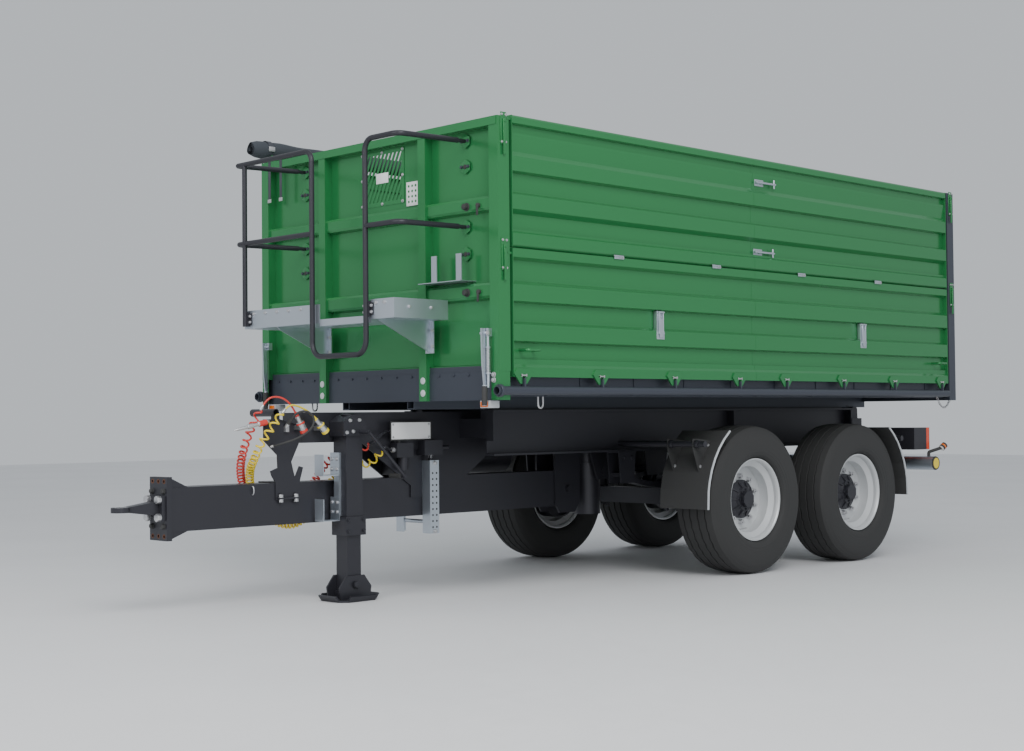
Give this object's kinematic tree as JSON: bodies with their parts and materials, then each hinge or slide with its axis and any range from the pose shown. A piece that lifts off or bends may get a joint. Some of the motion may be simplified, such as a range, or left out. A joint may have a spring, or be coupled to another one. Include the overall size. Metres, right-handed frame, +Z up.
{
  "type": "tandem axle dump trailer",
  "caption": "Tandem-axle tipping trailer with a ribbed box body, swinging side and tail walls, telescopic lift, drawbar and parking jack.",
  "frame": {"origin": "centre of the bounding box, on the ground under the wheels and jack foot", "axes": "+X forward to the towing eye, +Y to the left side, +Z up"},
  "size_m": [7.228, 2.5784, 3.158],
  "materials": {
    "bed_green": "gloss",
    "chassis_black": "satin",
    "bed_dark": "satin",
    "wheel_silver": "satin",
    "galvanised": "matte zinc",
    "bright_steel": "satin",
    "cylinder_steel": "polished",
    "tyre_rubber": "matte",
    "black_plastic": "matte",
    "tarp_cloth": "coated",
    "red_plastic": "glossy",
    "yellow_plastic": "glossy",
    "lens_red": "clear",
    "plate_white": "glossy"
  },
  "bodies": {
    "chassis": {"axles": "chassis_black", "leaf_springs": "chassis_black", "chassis_frame": "chassis_black", "drawbar_beam": "chassis_black", "towing_eye": "chassis_black", "hose_stand": "chassis_black", "jack_housing": "chassis_black", "jack_hooks": "galvanised", "side_step": "galvanised", "blank_plate": "plate_white", "brake_valves": "chassis_black", "air_tank": "chassis_black", "mudguards": "black_plastic", "rear_bumper": "galvanised", "bumper_reflectors": "yellow_plastic", "lamp_boxes": "chassis_black", "lamp_lenses": "lens_red", "marker_arms": "black_plastic", "red_coil": "red_plastic", "red_hose": "red_plastic", "yellow_coil": "yellow_plastic", "yellow_hose": "yellow_plastic", "black_lead": "black_plastic", "hose_couplings": "bright_steel"},
    "wheel_front_left": {"tyre_front_left": "tyre_rubber", "rim_front_left": "wheel_silver", "hub_front_left": "chassis_black"},
    "wheel_rear_left": {"tyre_rear_left": "tyre_rubber", "rim_rear_left": "wheel_silver", "hub_rear_left": "chassis_black"},
    "wheel_front_right": {"tyre_front_right": "tyre_rubber", "rim_front_right": "wheel_silver", "hub_front_right": "chassis_black"},
    "wheel_rear_right": {"tyre_rear_right": "tyre_rubber", "rim_rear_right": "wheel_silver", "hub_rear_right": "chassis_black"},
    "jack_leg": {"jack_leg": "chassis_black"},
    "bed": {"bed_frame": "bed_dark", "bed_floor": "bed_green", "headboard": "bed_green", "lower_front_sheets": "bed_dark", "headboard_grille": "bed_green", "platform": "galvanised", "handrails": "chassis_black", "tool_holder": "galvanised", "lock_levers": "galvanised", "lock_tubes": "bed_dark", "rear_posts": "bed_dark", "tarp_roll": "tarp_cloth"},
    "left_upper_wall": {"left_upper_wall": "bed_green"},
    "left_lower_wall": {"left_lower_wall": "bed_green"},
    "right_upper_wall": {"right_upper_wall": "bed_green"},
    "right_lower_wall": {"right_lower_wall": "bed_green"},
    "tail_upper_wall": {"tail_upper_wall": "bed_green"},
    "tail_lower_wall": {"tail_lower_wall": "bed_green"},
    "lift_barrel": {"lift_barrel": "chassis_black"},
    "lift_stage_1": {"lift_stage_1": "cylinder_steel"},
    "lift_stage_2": {"lift_stage_2": "cylinder_steel"},
    "lift_stage_3": {"lift_stage_3": "cylinder_steel"},
    "lift_stage_4": {"lift_stage_4": "cylinder_steel"}
  },
  "joints": [
    {"name": "wheel_front_left_spin", "type": "hinge", "parent": "chassis", "child": "wheel_front_left", "pos_m": [-0.933, 0.995, 0.536], "axis": [0, 1, 0], "continuous": true},
    {"name": "wheel_rear_left_spin", "type": "hinge", "parent": "chassis", "child": "wheel_rear_left", "pos_m": [-2.263, 0.995, 0.536], "axis": [0, 1, 0], "continuous": true},
    {"name": "wheel_front_right_spin", "type": "hinge", "parent": "chassis", "child": "wheel_front_right", "pos_m": [-0.933, -0.995, 0.536], "axis": [0, 1, 0], "continuous": true},
    {"name": "wheel_rear_right_spin", "type": "hinge", "parent": "chassis", "child": "wheel_rear_right", "pos_m": [-2.263, -0.995, 0.536], "axis": [0, 1, 0], "continuous": true},
    {"name": "jack_travel", "type": "slide", "parent": "chassis", "child": "jack_leg", "axis": [0, 0, 1], "range_m": [0, 0.25]},
    {"name": "bed_tip", "type": "hinge", "parent": "chassis", "child": "bed", "pos_m": [-3.333, 0, 1.172], "axis": [0, -1, 0], "range_deg": [0, 48]},
    {"name": "left_upper_swing", "type": "hinge", "parent": "bed", "child": "left_upper_wall", "pos_m": [-0.95, 1.219, 2.97], "axis": [1, 0, 0], "range_deg": [0, 90]},
    {"name": "left_lower_swing", "type": "hinge", "parent": "bed", "child": "left_lower_wall", "pos_m": [-0.95, 1.219, 2.149], "axis": [1, 0, 0], "range_deg": [0, 90]},
    {"name": "right_upper_swing", "type": "hinge", "parent": "bed", "child": "right_upper_wall", "pos_m": [-0.95, -1.219, 2.97], "axis": [-1, 0, 0], "range_deg": [0, 90]},
    {"name": "right_lower_swing", "type": "hinge", "parent": "bed", "child": "right_lower_wall", "pos_m": [-0.95, -1.219, 2.149], "axis": [-1, 0, 0], "range_deg": [0, 90]},
    {"name": "tail_upper_swing", "type": "hinge", "parent": "bed", "child": "tail_upper_wall", "pos_m": [-3.597, 0, 2.97], "axis": [0, 1, 0], "range_deg": [0, 90]},
    {"name": "tail_lower_swing", "type": "hinge", "parent": "bed", "child": "tail_lower_wall", "pos_m": [-3.597, 0, 2.149], "axis": [0, 1, 0], "range_deg": [0, 90]},
    {"name": "lift_lean", "type": "hinge", "parent": "chassis", "child": "lift_barrel", "pos_m": [-0.373, 0, 0.74], "axis": [0, -1, 0], "range_deg": [0, 20.5]},
    {"name": "lift_stage_1_slide", "type": "slide", "parent": "lift_barrel", "child": "lift_stage_1", "axis": [0, 0, 1], "range_m": [0, 0.602]},
    {"name": "lift_stage_2_slide", "type": "slide", "parent": "lift_stage_1", "child": "lift_stage_2", "axis": [0, 0, 1], "range_m": [0, 0.602]},
    {"name": "lift_stage_3_slide", "type": "slide", "parent": "lift_stage_2", "child": "lift_stage_3", "axis": [0, 0, 1], "range_m": [0, 0.602]},
    {"name": "lift_stage_4_slide", "type": "slide", "parent": "lift_stage_3", "child": "lift_stage_4", "axis": [0, 0, 1], "range_m": [0, 0.602]}
  ],
  "couplings": [
    {"joint": "lift_lean", "follows": "bed_tip", "ratio": 0.4244},
    {"joint": "lift_stage_1_slide", "follows": "bed_tip", "m_per_rad": 0.7165},
    {"joint": "lift_stage_2_slide", "follows": "bed_tip", "m_per_rad": 0.7165},
    {"joint": "lift_stage_3_slide", "follows": "bed_tip", "m_per_rad": 0.7165},
    {"joint": "lift_stage_4_slide", "follows": "bed_tip", "m_per_rad": 0.7165}
  ]
}
